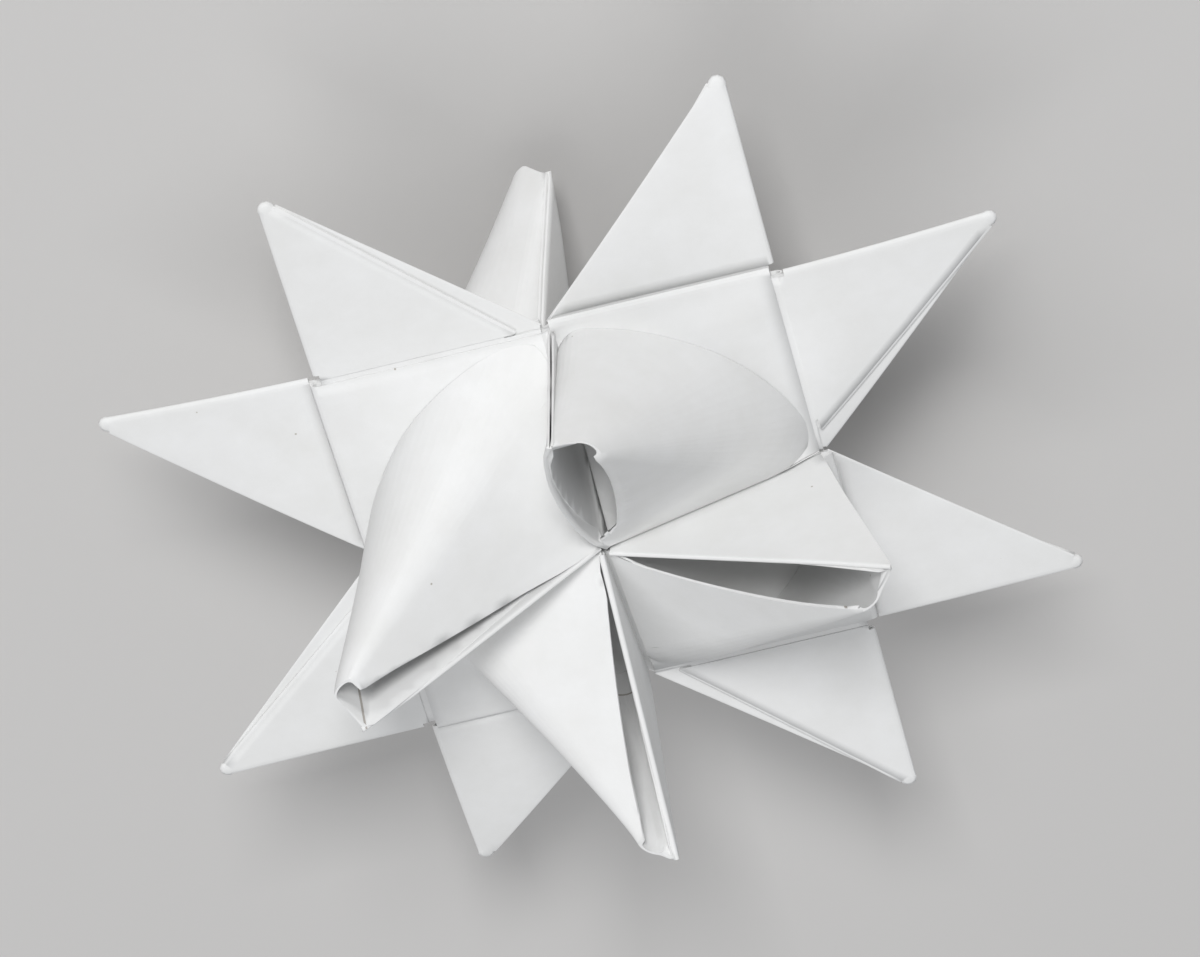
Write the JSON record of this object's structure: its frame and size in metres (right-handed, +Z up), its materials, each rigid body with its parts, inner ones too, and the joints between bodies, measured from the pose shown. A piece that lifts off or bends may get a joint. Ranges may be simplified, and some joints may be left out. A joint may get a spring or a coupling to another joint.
{
  "type": "froebel star",
  "caption": "Woven paper star with flat folded points all round and rolled, cone-shaped points standing up from its front and back.",
  "frame": {"origin": "under the middle of the star, at the level of the tips that it stands on", "axes": "+Z up through the middle of the woven square, from the back to the front; +X and +Y along the sides of the square"},
  "size_m": [0.0518, 0.0518, 0.0263],
  "materials": {
    "paper": "matte"
  },
  "bodies": {
    "root": {"strip_left": "paper", "strip_bottom": "paper", "strip_right": "paper", "strip_top": "paper"}
  },
  "joints": []
}
